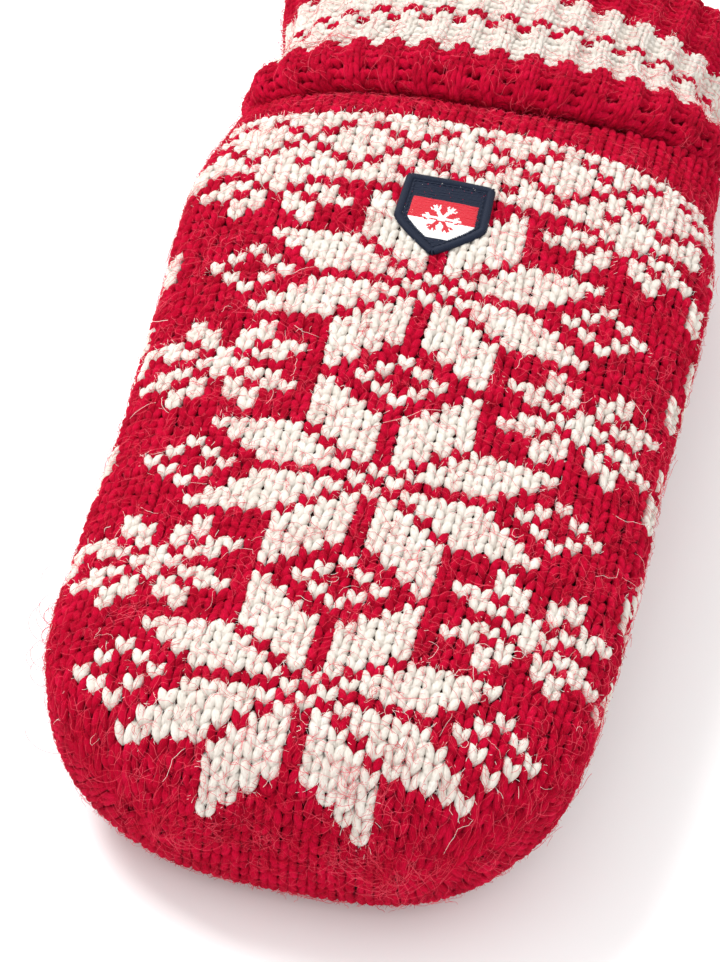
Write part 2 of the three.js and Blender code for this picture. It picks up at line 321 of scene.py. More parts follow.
def grid_quads(rows, columns):
    """Faces of a grid of points that is rows by columns."""
    corner = (np.arange(rows - 1)[:, None] * columns + np.arange(columns - 1)).ravel()
    return np.stack([corner, corner + 1, corner + columns + 1, corner + columns], -1)


def ride_on(body):
    return lambda piece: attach(piece, body)


def bend_at():
    """A rider that bakes each piece's placement into its mesh; it does not bend the piece."""

    def rider(piece):
        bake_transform(piece)

    return rider


at_knuckle = bend_at()
at_wrist = bend_at()


def yarn_object(name, paths, radii, normals, sides, mat, rider):
    """One piece of many closed tubes, with a UV that runs along and round each.

    paths is (tubes, rings, 3), radii and normals match it, and each tube ends in
    a point.
    """
    radii = np.broadcast_to(radii, paths.shape[:2])
    n, rings, _ = paths.shape
    tangent = np.gradient(paths, axis=1)
    tangent /= np.maximum(np.linalg.norm(tangent, axis=2, keepdims=True), 1e-9)
    side = np.cross(tangent, normals)
    side /= np.maximum(np.linalg.norm(side, axis=2, keepdims=True), 1e-9)
    up = np.cross(side, tangent)
    turn = 2 * math.pi * np.arange(sides) / sides
    ring = (
        side[:, :, None] * np.cos(turn)[None, None, :, None]
        + up[:, :, None] * np.sin(turn)[None, None, :, None]
    )
    body = paths[:, :, None] + ring * radii[:, :, None, None]
    start = paths[:, 0] - tangent[:, 0] * radii[:, 0, None] * 0.8
    end = paths[:, -1] + tangent[:, -1] * radii[:, -1, None] * 0.8
    vertices = np.concatenate([body.reshape(n, -1, 3), start[:, None], end[:, None]], axis=1)
    per = rings * sides + 2
    faces = []
    for r in range(rings - 1):
        for k in range(sides):
            a, b = r * sides + k, r * sides + (k + 1) % sides
            faces.append((a, b, b + sides))
            faces.append((a, b + sides, a + sides))
    last = (rings - 1) * sides
    for k in range(sides):
        faces.append((per - 2, (k + 1) % sides, k))
        faces.append((per - 1, last + k, last + (k + 1) % sides))
    faces = np.array(faces)[None] + (np.arange(n) * per)[:, None, None]
    u = np.concatenate([np.repeat(np.linspace(0, 1, rings), sides), [0, 1]])
    w = np.concatenate([np.tile(turn / (2 * math.pi), rings), [0, 0]])
    uv = np.tile(np.stack([u, w], -1), (n, 1))
    return new_object(name, vertices.reshape(-1, 3), faces.reshape(-1, 3), mat, rider, uv=uv)


def resample(stations, count):
    """A smooth curve through a few values, as count values."""
    t = np.linspace(0, len(stations) - 1, count)
    i = np.clip(t.astype(int), 0, len(stations) - 2)
    f = t - i
    before, after = 2 * stations[0] - stations[1], 2 * stations[-1] - stations[-2]
    p = np.concatenate([[before], stations, [after]])
    p0, p1, p2, p3 = p[i], p[i + 1], p[i + 2], p[i + 3]
    curve = 2 * p1 + (p2 - p0) * f + (2 * p0 - 5 * p1 + 4 * p2 - p3) * f**2
    return 0.5 * (curve + (3 * p1 - p0 - 3 * p2 + p3) * f**3)


# one leg of a stitch: across and along in stitches, height and radius in mm
LEG_ACROSS = np.array([0.07, 0.15, 0.25, 0.34, 0.38])
LEG_ALONG = np.array([-0.68, -0.31, 0.10, 0.51, 0.90])
LEG_HEIGHT = np.array([0.15, 0.62, 0.78, 0.52, -0.25])
LEG_RADIUS = np.array([0.34, 0.74, 0.88, 0.76, 0.32])
LEG_RINGS, LEG_SIDES = 6, 8
HAIR_RADIUS, HAIR_SIDES = (0.022, 0.045), 3


def stitch_legs(fabric, s, v, width=COLUMN, plump=1.0):
    """Paths, radii and normals of both legs of knit stitches at s and v."""
    n = len(s)
    across = resample(LEG_ACROSS, LEG_RINGS)
    along = resample(LEG_ALONG, LEG_RINGS)
    height = resample(LEG_HEIGHT, LEG_RINGS)
    radius = resample(LEG_RADIUS, LEG_RINGS)
    paths, radii, normals = [], [], []
    for hand in (-1, 1):
        lean = rng.normal(0, 0.035, (n, 1))
        slide = rng.normal(0, 0.06, (n, 1))
        fat = rng.normal(1, 0.06, (n, 1)) * plump
        a = s[:, None] + width * (hand * across[None] + lean)
        b = v[:, None] + along[None] + slide
        h = height[None] * (width / COLUMN) + rng.normal(0, 0.06, (n, 1))
        points, out = fabric.at(a, b, h)
        paths.append(points)
        normals.append(out)
        radii.append(radius[None] * fat * (width / COLUMN))
    return np.concatenate(paths), np.concatenate(radii), np.concatenate(normals)


# ---- charts
# quadrants of the motifs: for each row from the centre, the white columns
STAR = {
    0: [1],
    1: [0, 2, 3, 4, 5, 6],
    2: [1, 3, 4, 5, 6, 7],
    3: [1, 2, 4, 5, 6, 7, 8],
    4: [1, 2, 3, 5, 6, 7, 8, 9],
    5: [1, 2, 3, 4],
    6: [1, 2, 3, 4],
    7: [2, 3, 4],
    8: [3, 4],
    9: [4],
}
SNOWFLAKE = {0: [0, 1], 1: [0, 2, 3], 2: [1, 3, 4], 3: [1, 2], 4: [2]}
RING = {0: [2], 1: [1], 2: [0]}
REPEAT = 20
BAND_FROM, BAND_TO, BAND_CENTRE = 51, 58, 55


def in_motif(motif, column, row):
    return abs(column) in motif.get(abs(row), ())


def back_is_white(column, row):
    """The colour chart of the back of the hand."""
    if abs(column) > 14:
        return palm_is_white(column, row)
    if row > BAND_TO or row < -9:
        return False
    if row >= BAND_FROM:
        from_cross = abs((column + 6) % 6 - 3)
        height = row - BAND_CENTRE
        if height == -3:
            return from_cross not in (0, 3)
        return abs(height) > 2 or from_cross != abs(height)
    for k in range(3):
        if in_motif(STAR, column, row - REPEAT * k):
            return True
        half = row - REPEAT * k - REPEAT // 2
        if k < 2 and in_motif(RING, column, half):
            return True
        for side in (-10, 10):
            if in_motif(RING, column - side, row - REPEAT * k) and k < 3:
                return True
            if in_motif(SNOWFLAKE, column - side, half):
                return True
    return False


def palm_is_white(column, row):
    return 6 < row <= BAND_TO and palm_pattern(column, row)


def palm_pattern(column, row):
    """Small blocks, staggered from one band to the next."""
    return row % 5 < 3 and (column + 2 * (row // 5)) % 4 < 2


# ---- materials
def material(name, roughness=0.9, sheen=0.0, sheen_tint=(1, 1, 1), specular=0.25):
    mat = bpy.data.materials.new(name)
    mat.use_nodes = True
    shader = mat.node_tree.nodes["Principled BSDF"]
    shader.inputs["Roughness"].default_value = roughness
    shader.inputs["Sheen Weight"].default_value = sheen
    shader.inputs["Sheen Roughness"].default_value = 0.45
    shader.inputs["Sheen Tint"].default_value = (*sheen_tint, 1)
    shader.inputs["Specular IOR Level"].default_value = specular
    return mat, mat.node_tree, shader


def noise_node(tree, coordinates, scale, detail=4.0, stretch=None):
    texture = tree.nodes.new("ShaderNodeTexNoise")
    texture.inputs["Scale"].default_value = scale
    texture.inputs["Detail"].default_value = detail
    source = tree.nodes.new("ShaderNodeTexCoord").outputs[coordinates]
    if stretch:
        mapping = tree.nodes.new("ShaderNodeMapping")
        mapping.inputs["Scale"].default_value = stretch
        tree.links.new(source, mapping.inputs["Vector"])
        source = mapping.outputs["Vector"]
    tree.links.new(source, texture.inputs["Vector"])
    return texture.outputs["Fac"]


def ramp_node(tree, factor, stops):
    ramp = tree.nodes.new("ShaderNodeValToRGB")
    elements = ramp.color_ramp.elements
    while len(elements) < len(stops):
        elements.new(0.5)
    for element, (position, colour) in zip(elements, stops):
        element.position = position
        element.color = (*colour, 1)
    tree.links.new(factor, ramp.inputs["Fac"])
    return ramp.outputs["Color"]


def bump_node(tree, heights, shader):
    """Bumps the shader with each height in turn, by its strength and distance."""
    normal = None
    for height, strength, distance in heights:
        bump = tree.nodes.new("ShaderNodeBump")
        bump.inputs["Strength"].default_value = strength
        bump.inputs["Distance"].default_value = distance
        tree.links.new(height, bump.inputs["Height"])
        if normal is not None:
            tree.links.new(normal, bump.inputs["Normal"])
        normal = bump.outputs["Normal"]
    tree.links.new(normal, shader.inputs["Normal"])


def wool(name, dark, middle, light, sheen, sheen_tint):
    """Brushed worsted yarn: plies along each leg, with a soft felted surface."""
    mat, tree, shader = material(name, 0.92, sheen, sheen_tint, specular=0.05)
    cloud = noise_node(tree, "Object", 260, 5)
    fibres = noise_node(tree, "UV", 6, 6, (1.0, 9, 1))
    half, mean = (tree.nodes.new("ShaderNodeMath") for _ in range(2))
    half.operation, mean.operation = "MULTIPLY", "MULTIPLY_ADD"
    half.inputs[1].default_value = mean.inputs[1].default_value = 0.5
    tree.links.new(fibres, half.inputs[0])
    tree.links.new(cloud, mean.inputs[0])
    tree.links.new(half.outputs[0], mean.inputs[2])
    colour = ramp_node(tree, mean.outputs[0], [(0.36, dark), (0.52, middle), (0.68, light)])
    tree.links.new(colour, shader.inputs["Base Color"])
    felt = noise_node(tree, "Object", 2600, 5)
    bump_node(tree, [(fibres, 0.8, 0.0006), (felt, 0.7, 0.0003)], shader)
    return mat


RED_DARK, RED, RED_LIGHT = (0.26, 0.0006, 0.009), (0.52, 0.0012, 0.025), (0.72, 0.006, 0.055)
WHITE_DARK, WHITE, WHITE_LIGHT = (0.76, 0.68, 0.60), (0.88, 0.82, 0.74), (0.93, 0.90, 0.84)

RED_WOOL = wool("red_wool_yarn", RED_DARK, RED, RED_LIGHT, 0.25, (1.0, 0.04, 0.14))
WHITE_WOOL = wool("white_wool_yarn", WHITE_DARK, WHITE, WHITE_LIGHT, 0.25, (1, 0.97, 0.93))


def cloth(name, stops, noises, bumps, **base):
    """A material whose colour follows the first noise; bumps go with the noises."""
    mat, tree, shader = material(name, **base)
    fields = [noise_node(tree, *noise) for noise in noises]
    tree.links.new(ramp_node(tree, fields[0], stops), shader.inputs["Base Color"])
    if bumps:
        bump_node(tree, [(field, *bump) for field, bump in zip(fields, bumps)], shader)
    return mat


def fibre(name, colour, light):
    """Single hairs of the wool."""
    stops = [(0.35, colour), (0.7, light)]
    return cloth(name, stops, [("Object", 120, 2)], [], roughness=0.8, specular=0.08)


def thread(name, dark, light, sheen=0.3):
    """Smooth filament yarn, as labels are woven from."""
    stops, twist = [(0.3, dark), (0.7, light)], ("UV", 9, 3, (14, 3, 1))
    return cloth(name, stops, [twist], [(0.4, 0.0001)], roughness=0.55, sheen=sheen)


# the red hairs vary at random from red to a pinkish light colour; that pink is a painted highlight
RED_FIBRE = fibre("red_wool_fibre", (0.62, 0.008, 0.035), (0.85, 0.10, 0.15))
RED_NAP = fibre("red_wool_nap", (0.40, 0.001, 0.015), (0.80, 0.012, 0.07))
WHITE_FIBRE = fibre("white_wool_fibre", (0.88, 0.82, 0.75), (0.95, 0.92, 0.88))
NAVY_THREAD = thread("navy_thread", (0.0015, 0.004, 0.014), (0.005, 0.013, 0.038), 0.02)
RED_THREAD = thread("red_thread", (0.42, 0.004, 0.012), (0.66, 0.012, 0.035))
WHITE_THREAD = thread("white_thread", (0.70, 0.69, 0.68), (0.90, 0.90, 0.89))
# the floats behind the stitches, coloured near black: painted shade that shows in the gaps between
# stitches and down in the crease
FLOATS_PAINTED_SHADE = cloth(
    "yarn_floats_painted_shade",
    [(0.35, (0.03, 0.0002, 0.001)), (0.65, (0.12, 0.0008, 0.005))],
    [("Object", 420, 4)],
    [(0.6, 0.0008)],
    roughness=0.95,
    sheen=0.1,
)
FLEECE = cloth(
    "fleece_pile",
    [(0.35, (0.24, 0.003, 0.012)), (0.68, (0.52, 0.02, 0.045))],
    [("Object", 420, 6), ("Object", 1500, 5)],
    [(0.9, 0.0012), (0.6, 0.0005)],
    roughness=0.95,
    sheen=0.6,
    sheen_tint=(1.0, 0.6, 0.62),
)
SATIN = cloth(
    "satin_ribbon",
    [(0.3, (0.78, 0.77, 0.74)), (0.7, (0.90, 0.89, 0.87))],
    [("Object", 900, 2, (1, 0.15, 6))],
    [(0.3, 0.0001)],
    roughness=0.32,
    sheen=0.2,
)


# ---- knitting
def grid_stitches(fabric, is_white, rows, width=COLUMN, around=False, keep=None):
    """Columns, rows and colours of the stitches that fit on a chart."""
    columns, places, white = [], [], []
    widest = int(fabric.s_max / width) + 1
    for row in rows:
        reach = np.interp(row, fabric.vs, fabric.full if around else fabric.reach)
        for column in range(-widest, widest + 1):
            if abs(column) * width > reach + (-0.5 if around else 0.25) * width:
                continue
            if keep and not keep(column, row):
                continue
            columns.append(column)
            places.append(row)
            white.append(is_white(column, math.floor(row)))
    return np.array(columns, float), np.array(places, float), np.array(white, bool)


def add_yarn(name, fabric, columns, rows, mat, rider, width=COLUMN, **style):
    """One piece with the legs of all these stitches."""
    s = columns * width
    wander = 0.35 * smooth_noise(s, rows * ROW, 21, 30)
    drift = 0.18 * smooth_noise(s, rows * ROW, 22, 24)
    paths, radii, normals = stitch_legs(fabric, s + wander, rows + drift, width=width, **style)
    return yarn_object(name, paths, radii, normals, LEG_SIDES, mat, rider)


def hairs(fabric, s, v, heading, step, height):
    """Paths, radii and normals of hairs that start at s and v and wander off."""
    a = s[:, None] + np.cumsum(np.cos(heading) * step, axis=1)
    b = v[:, None] + np.cumsum(np.sin(heading) * step, axis=1) / ROW
    paths, normals = fabric.at(a, b, height)
    radius = rng.uniform(*HAIR_RADIUS, len(s))[:, None]
    return paths, np.broadcast_to(radius, paths.shape[:2]), normals


def add_fibres(name, fabric, count, v_from, v_to, mat, rider, stray=0.25, around=False, scale=1.0):
    """Loose hairs: most lie curled on the fabric, and some stand off it."""
    steps = 8
    v = rng.uniform(v_from, v_to, count)
    reach = np.interp(v, fabric.vs, fabric.full if around else fabric.reach) + 1.5
    s = rng.uniform(-1, 1, count) * reach
    length = rng.gamma(3.0, 1.35, count) * scale + 1.2
    heading = rng.uniform(0, 2 * math.pi, count)[:, None] + np.cumsum(
        rng.normal(0, 0.42, (count, steps)) + rng.normal(0, 0.22, (count, 1)), axis=1
    )
    step = (length / steps)[:, None]
    t = np.linspace(0, 1, steps)[None, :]
    loose = rng.random(count)[:, None] < stray
    lift = rng.uniform(0.3, 1.1, count)[:, None] * scale
    height = 1.35 + lift * np.sin(math.pi * t) * 0.7
    height = np.where(loose, 1.0 + lift * 2.2 * t + 0.4 * np.sin(5 * t), height)
    paths, radius, normals = hairs(fabric, s, v, heading, step, height)
    # none lies on the label
    middle = paths[:, steps // 2]
    clear = ((middle < LABEL_LOW - 1) | (middle > LABEL_HIGH + 1))[:, :2].any(axis=1)
    yarn_object(name, paths[clear], radius[clear], normals[clear], HAIR_SIDES, mat, rider)


def add_nap(name, fabric, chart, count, v_from, v_to, rider, width=COLUMN, around=False):
    """Short hairs that blur the stitches, each the colour of the stitch under it."""
    steps = 3
    v = rng.uniform(v_from, v_to, count)
    reach = np.interp(v, fabric.vs, fabric.full if around else fabric.reach)
    s = rng.uniform(-1, 1, count) * reach
    white = np.array([chart(round(c), math.floor(r)) for c, r in zip(s / width, v + 0.5)])
    heading = rng.uniform(0, 2 * math.pi, count)[:, None] + np.cumsum(
        rng.normal(0, 0.6, (count, steps)), axis=1
    )
    step = rng.uniform(0.25, 0.75, count)[:, None]
    t = np.linspace(0, 1, steps)[None, :]
    height = 0.9 + rng.uniform(0.3, 1.3, count)[:, None] * t
    paths, radius, normals = hairs(fabric, s, v, heading, step, height)
    for yarn, mat, pick in (("red", RED_NAP, ~white), ("white", WHITE_FIBRE, white)):
        if pick.any():
            some = paths[pick], radius[pick], normals[pick]
            yarn_object(f"{name}_{yarn}_nap", *some, HAIR_SIDES, mat, rider)


def off_hole(centres, radius, low, high):
    """Which faces lie clear of the thumb's opening."""
    away = np.hypot(centres[:, 0] - THUMB_CENTRE[0], centres[:, 1] - THUMB_CENTRE[1])
    return ~((away < radius) & (centres[:, 2] > low) & (centres[:, 2] < high))


def skin(name, section, stations, mat, rider, around=140, place=None, hole=None, relief=None):
    """A surface through sections. stations is a list of (y, inset).

    hole is the radius of the thumb's opening and the heights it is cut between.
    """
    angle = np.linspace(0, 2 * math.pi, around, endpoint=False)
    y = np.array([[station[0]] for station in stations], float)
    inset = np.array([[station[1]] for station in stations], float)
    if relief is not None:
        inset = inset + relief(y, angle[None, :])
    points = section_point(section, y, angle[None, :], inset)
    if place is not None:
        points = place(points)
    k = np.arange(around)
    rows = np.arange(len(stations) - 1)[:, None] * around
    faces = np.stack(
        [rows + k, rows + (k + 1) % around, rows + around + (k + 1) % around, rows + around + k], -1
    ).reshape(-1, 4)
    points = points.reshape(-1, 3)
    if hole:
        faces = faces[off_hole(points[faces].mean(1), *hole)]
    return new_object(name, points, faces, mat, rider)


def stretch(y_from, y_to, inset, count):
    return [(y, inset) for y in np.linspace(y_from, y_to, count)]


def to_end(y_from, y_end, inset, count):
    """Stations that crowd towards a rounded end."""
    t = np.sin(np.linspace(0, math.pi / 2, count))
    return [(y_from + (y_end - y_from) * k, inset) for k in t]


# ---- the hand
SKEW, SKEW_BULGE = 0.10, 0.0022  # the thumb side of the crease is pulled up askew
CREASE_DEPTH, CREASE_EDGE = 4.6, 4.0


def crease_skew(x):
    right = np.maximum(x, 0)
    return SKEW * right + SKEW_BULGE * right**2


def sink_crease(points):
    """Drops the back of the hand into the crease, where it goes inside the cuff."""
    past_edge = points[..., 1] - WRIST_Y - crease_skew(points[..., 0]) + CREASE_EDGE
    sunk = points.copy()
    sunk[..., 2] -= CREASE_DEPTH * ease(past_edge / 2.0) * ease((points[..., 2] - 25) / 15)
    return sunk


def hand_relief(s, v):
    """Slow swells of a soft knit that nothing fills."""
    return 0.5 * smooth_noise(s, v * ROW, 11, 28) + 0.22 * smooth_noise(s, v * ROW, 12, 12)


UNDER_CUFF = 12.0  # how far the shell goes on inside the cuff
hand_back, hand_palm = (
    Fabric(hand_section, TIP_Y, WRIST_Y + UNDER_CUFF, STAR_Y, side, sink_crease, hand_relief)
    for side in ("back", "palm")
)
OVER_TIP = 6  # rows of the back that go on over the fingertips
TIP_REACH = np.interp(hand_back.v0, hand_back.vs, hand_back.reach)


class OverTip:
    """The back of the hand, carried on over the fingertips onto the palm."""

    vs, reach, s_max = hand_back.vs, hand_back.reach, hand_back.s_max
    v0, v1 = hand_back.v0, hand_back.v1

    def at(self, s, v, height=0.0):
        s, v, height = np.broadcast_arrays(s, v, height)
        back, back_out = hand_back.at(s, v, height)
        palm, palm_out = hand_palm.at(s, hand_palm.v0 + hand_back.v0 - v, height)
        over = (v < hand_back.v0)[..., None]
        return np.where(over, palm, back), np.where(over, palm_out, back_out)


MEETING_ROW = math.floor(hand_palm.v0 + OVER_TIP)


def over_tip_rows():
    """Rows of the back from where it meets the palm to the fingertips."""
    last = math.ceil(hand_back.v0)
    meeting = hand_back.v0 + hand_palm.v0 - MEETING_ROW
    return list(np.linspace(meeting, last, round(last - meeting) + 1)[:-1])


def row_at(fabric, y):
    """The row of a chart at a place along the hand."""
    middle = fabric.points[:, fabric.points.shape[1] // 2, 1]
    return round(float(np.interp(y, middle, fabric.vs)))


LOOSE_HAIRS = {"back": 4200, "palm": 1800}
NAP = {"back": (19000, 11000), "palm": (6000, 4000)}  # on the fingers and the wrist


def on_palm(column, row):
    """Whether a stitch of the palm is clear of the fingertips and the thumb."""
    if abs(column) * COLUMN < TIP_REACH + 0.25 * COLUMN and row <= MEETING_ROW:
        return False
    point, _ = hand_palm.at(np.array([column * COLUMN]), np.array([float(row)]))
    return np.hypot(*(point[0, :2] - THUMB_CENTRE[:2])) > THUMB_HOLE - 0.5


def knit_hand():
    split_rows = {"back": row_at(hand_back, SPLIT_Y), "palm": row_at(hand_palm, SPLIT_Y)}
    for side, fabric, chart, keep in (
        ("back", OverTip(), back_is_white, None),
        ("palm", hand_palm, palm_is_white, on_palm),
    ):
        rows = [*range(math.ceil(fabric.v0), int(fabric.v1))]
        if side == "back":
            rows = over_tip_rows() + rows
        columns, rows, white = grid_stitches(fabric, chart, rows, keep=keep)
        split_row = split_rows[side]
        for part, rider, chosen in (
            ("fingers", at_knuckle, rows < split_row),
            ("wrist", at_wrist, rows >= split_row),
        ):
            for yarn, mat, colour, plump in (
                ("red", RED_WOOL, ~white, 0.98),
                ("white", WHITE_WOOL, white, 1.08),
            ):
                pick = chosen & colour
                name = f"{side}_{part}_{yarn}_yarn"
                add_yarn(name, fabric, columns[pick], rows[pick], mat, rider, plump=plump)
        tip_row, loose, nap = fabric.v0 + 0.3, LOOSE_HAIRS[side], NAP[side]
        for part, count, v_from, v_to, mat, rider in (
            ("fingers", loose, tip_row, split_row, RED_FIBRE, at_knuckle),
            ("wrist", loose // 2, split_row, fabric.v1 - 5, RED_FIBRE, at_wrist),
            ("white", 150, split_row - 44, split_row, WHITE_FIBRE, at_knuckle),
        ):
            add_fibres(f"{side}_{part}_fibres", fabric, count, v_from, v_to, mat, rider)
        add_nap(f"{side}_fingers", fabric, chart, nap[0], tip_row, split_row, at_knuckle)
        add_nap(f"{side}_wrist", fabric, chart, nap[1], split_row, fabric.v1 - 4, at_wrist)
    long_hairs()


def long_hairs():
    """A few long hairs that loop out beyond the fingertips."""
    count, steps = 26, 22
    side = np.where(rng.random(count) < 0.75, -1, 1)
    v = rng.uniform(-12, 12, count)
    s = side * (np.interp(v, hand_back.vs, hand_back.reach) - rng.uniform(0, 4, count))
    t = np.linspace(0, 1, steps)[None, :]
    curl = rng.uniform(2.0, 5.5, count)[:, None]
    turn = curl * t * np.where(rng.random(count) < 0.5, -1, 1)[:, None]
    start, out = hand_back.at(s, v, np.full(count, 0.8))
    up = np.array([0, 0, 1.0])
    along = np.cross(out, up)
    along /= np.linalg.norm(along, axis=1, keepdims=True)
    step = rng.uniform(6, 15, count)[:, None] / steps
    flat = out * np.array([1, 1, 0.15])
    move = (
        np.cos(turn)[..., None] * flat[:, None] + np.sin(turn)[..., None] * along[:, None]
    ) * step[..., None]
    paths = start[:, None] + np.cumsum(move, axis=1)
    paths[..., 2] = np.maximum(paths[..., 2] + rng.normal(0, 1.0, (count, 1)) * t, 0.3)
    normals = np.broadcast_to(up, paths.shape)
    yarn_object("tip_long_hairs", paths, 0.045, normals, 4, RED_FIBRE, at_knuckle)


def fleece_relief(y, angle):
    """Curled pile, as a small change of depth."""
    return 0.35 * smooth_noise(y, angle * 40, 31, 2.2) + 0.25 * smooth_noise(y, angle * 40, 32, 5)


def line_hand():
    inset, inner, edge = BACKING_INSET, LINING_INSET, LINING_EDGE_Y
    fingers = to_end(SPLIT_Y, TIP_Y + inset, inset, 70)
    wrist = stretch(SPLIT_Y, WRIST_Y + UNDER_CUFF, inset, 60)
    sunk = {"place": sink_crease, "hole": (THUMB_HOLE, 0, PALM_BOTTOM + 12)}
    # the backing under the knit is near black: painted shade, seen in the gaps between stitches and
    # in the crease
    for name, node, stations, rider, options in (
        ("painted_shade_backing_fingers", "finger_shell", fingers, at_knuckle, {}),
        ("painted_shade_backing_wrist", "palm_shell", wrist, at_wrist, sunk),
    ):
        piece = skin(name, hand_section, stations, FLOATS_PAINTED_SHADE, rider, **options)
        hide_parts(node)

    turns = np.linspace(0, math.pi, 7)
    lip = [(edge - 1 + math.sin(a), inner - 0.8 + 0.8 * math.cos(a)) for a in turns]
    fingers = to_end(SPLIT_Y, TIP_Y + inner, inner, 150)
    wrist = stretch(SPLIT_Y, edge - 1.4, inner, 120) + lip + [(edge - 8, LINING)]
    pile = {"around": 320, "relief": fleece_relief}
    holed = {**pile, "hole": (THUMB_HOLE - 3, 0, PALM_BOTTOM + 16)}
    for name, node, stations, rider, options in (
        ("lining_fingers", "finger_lining", fingers, at_knuckle, pile),
        ("lining_wrist", "palm_lining", wrist, at_wrist, holed),
    ):
        piece = skin(name, hand_section, stations, FLEECE, rider, **options)
        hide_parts(node)


def sew_lining():
    """Overlock thread over the edge of the lining."""
    count = 190
    t = np.linspace(0, 1, 9)
    turn = (np.arange(count)[:, None] + 0.9 * t[None, :]) * 2 * math.pi / count
    along = LINING_EDGE_Y + 1.0 - 4.2 * np.abs(2 * t[None, :] - 1) * np.ones((count, 1))
    depth = LINING_INSET - 0.6 * np.sin(math.pi * t)[None, :] * np.ones((count, 1)) + 0.2
    paths = section_point(hand_section, along, turn, depth)
    centre = np.array([0, 0, CUFF_ROLL_MID])
    normals = (centre - paths) * np.array([1, 0, 1])
    normals /= np.linalg.norm(normals, axis=2, keepdims=True)
    seam = yarn_object("lining_overlock", paths, 0.28, normals, 6, RED_WOOL, at_wrist)
    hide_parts("lining_seam")


knit_hand()
line_hand()
sew_lining()


# ---- the thumb
def place_thumb(points):
    c, s = math.cos(THUMB_TUCK), math.sin(THUMB_TUCK)
    x = c * points[..., 0] - s * points[..., 1] + THUMB_CENTRE[0]
    y = s * points[..., 0] + c * points[..., 1] + THUMB_CENTRE[1]
    return np.stack([x, y, points[..., 2]], -1)


on_thumb = ride_on("thumb")
THUMB_COLUMN = 3.3


def knit_thumb():
    fabric = Fabric(thumb_section, -THUMB_REACH, THUMB_HEEL, 0.0, "back", place=place_thumb)

    def keep(column, row):
        point, _ = fabric.at(np.array([column * THUMB_COLUMN]), np.array([float(row)]))
        away = np.hypot(*(point[0, :2] - THUMB_CENTRE[:2]))
        return away > THUMB_HOLE - 1.5 or point[0, 2] < THUMB_TOP / 2

    rows = [fabric.v0 + 0.5, *range(math.ceil(fabric.v0 + 1), int(fabric.v1))]
    columns, rows, white = grid_stitches(
        fabric, palm_pattern, rows, width=THUMB_COLUMN, around=True, keep=keep
    )
    for yarn, mat, pick in (("red", RED_WOOL, ~white), ("white", WHITE_WOOL, white)):
        name = f"thumb_{yarn}_yarn"
        add_yarn(name, fabric, columns[pick], rows[pick], mat, on_thumb, width=THUMB_COLUMN)
    ends = fabric.v0, fabric.v1
    add_nap("thumb", fabric, palm_pattern, 2500, *ends, on_thumb, THUMB_COLUMN, around=True)
    add_fibres("thumb_fibres", fabric, 1200, *ends, RED_FIBRE, on_thumb, around=True)
    hole = (THUMB_HOLE - 1, THUMB_TOP / 2, 40)
    # the thumb's backing is near black too: painted shade between the stitches
    for name, mat, inset, node in (
        ("thumb_painted_shade_backing", FLOATS_PAINTED_SHADE, BACKING_INSET, "thumb_shell"),
        ("thumb_fleece", FLEECE, LINING + 1, "thumb_lining"),
    ):
        stations = to_end(-20, -THUMB_REACH + inset, inset, 40)[::-1]
        stations += to_end(-20, THUMB_HEEL - inset, inset, 30)[1:]
        piece = skin(name, thumb_section, stations, mat, on_thumb, place=place_thumb, hole=hole)
        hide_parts(node)


class Ring:
    """A short upright tube: s runs round it and v up it."""

    def __init__(self, centre, radius, low, high):
        self.centre, self.radius, self.low, self.high = centre, radius, low, high

    def at(self, s, v, height=0.0):
        turn = np.asarray(s) / self.radius
        out = np.stack([np.cos(turn), np.sin(turn), 0 * turn], -1)
        up = self.low + (self.high - self.low) * np.asarray(v)
        points = out * (self.radius + np.asarray(height))[..., None]
        points[..., 0] += self.centre[0]
        points[..., 1] += self.centre[1]
        points[..., 2] += up
        return points, out


def join_thumb():
    """The round of stitches picked up around the opening."""
    radius = (ROUND_HIGH[0] - ROUND_LOW[0]) / 2 - 1.0
    ring = Ring(THUMB_CENTRE, radius, ROUND_LOW[2] + 0.4, ROUND_HIGH[2] - 0.2)
    count = 24
    width = 2 * math.pi * radius / count
    s = np.arange(count) * width
    paths, radii, normals = stitch_legs(ring, s, np.full(count, 0.5), width=width)
    piece = yarn_object("thumb_round", paths, radii, normals, LEG_SIDES, RED_WOOL, ride_on("hand"))
    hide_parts("thumb_joining_round")


knit_thumb()
join_thumb()


# ---- the cuff
RIBS = 35
RIB_COLUMN = 1.75
RIB_KNIT = 2.05  # width of the two knit columns of a rib, which bulge
RIB_DEPTH = 0.7
STRIPES = (7, 12), (13, 18)  # rows of the white stripes
CAST_OFF = 2.0  # the open edge rounds off over this depth


def skew_cuff(points):
    """Pulls the thumb side up askew, and lets the roll overhang the crease."""
    y = points[..., 1]
    fade = 1 - ease((y - WRIST_Y) / (CUFF_END_Y - WRIST_Y))
    t = np.clip((y - WRIST_Y + 1) / 5.5, 0, 1)
    askew = points.copy()
    askew[..., 1] += crease_skew(points[..., 0]) * fade
    askew[..., 1] += 1.5 * (1 - t) ** 6 - 12 * t * (1 - t) ** 3
    return askew


class Rib:
    """A ribbed chart. Its columns stay whole where the cuff narrows."""

    def __init__(self, fabric):
        self.fabric = fabric
        self.vs, self.s_max = fabric.vs, fabric.s_max
        self.full = np.full(len(fabric.vs), 2 * RIBS * RIB_COLUMN)

    def at(self, s, v, height=0.0):
        s = np.asarray(s)
        full = np.interp(v, self.fabric.vs, self.fabric.full)
        ridge = np.cos(math.pi / 2 * (s / RIB_COLUMN - 0.5))
        relief = RIB_DEPTH * np.tanh(1.8 * ridge)
        return self.fabric.at(s * full / (2 * RIBS * RIB_COLUMN), v, height + relief)


def cuff_is_white(_column, row):
    return any(first <= row < end for first, end in STRIPES)


def outside(y):
    """Inset of the outer face of the cuff."""
    t = np.clip((y - CUFF_END_Y + CAST_OFF) / CAST_OFF, 0, 1)
    return CAST_OFF * (1 - np.sqrt(1 - t**2))


def inside(y):
    return CUFF_WALL - outside(y)


